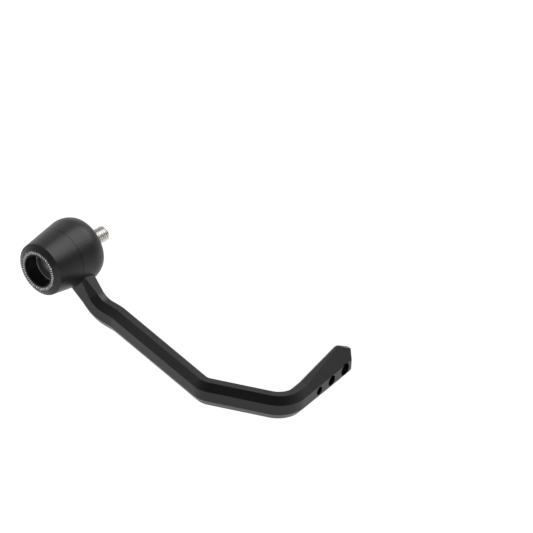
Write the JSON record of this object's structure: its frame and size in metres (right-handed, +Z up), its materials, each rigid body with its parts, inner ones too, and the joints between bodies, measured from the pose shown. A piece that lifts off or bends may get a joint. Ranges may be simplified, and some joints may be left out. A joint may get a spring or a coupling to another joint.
{
  "type": "brake lever guard",
  "caption": "Machined guard arm that curves round a motorbike brake lever, clamped in a round bar end by a central cap screw that goes into the handlebar.",
  "frame": {"origin": "on the screw's axis, in the plane of the bar end's face that touches the handlebar's end", "axes": "+X along the handlebar, outboard, away from the handlebar; +Y forward, the way the arm reaches; +Z up"},
  "size_m": [0.0825, 0.1652, 0.059],
  "materials": {
    "bar_end": "satin black anodised",
    "arm": "matt black anodised",
    "screw": "bright zinc plated",
    "washer": "bright",
    "sleeve": "turned"
  },
  "bodies": {
    "root": {"bar_end_collar": "bar_end", "bar_end_cap": "bar_end", "guard_arm": "arm", "clamp_screw": "screw", "head_washer": "washer", "spacer_sleeve": "sleeve", "recess_ring": "washer"}
  },
  "joints": []
}
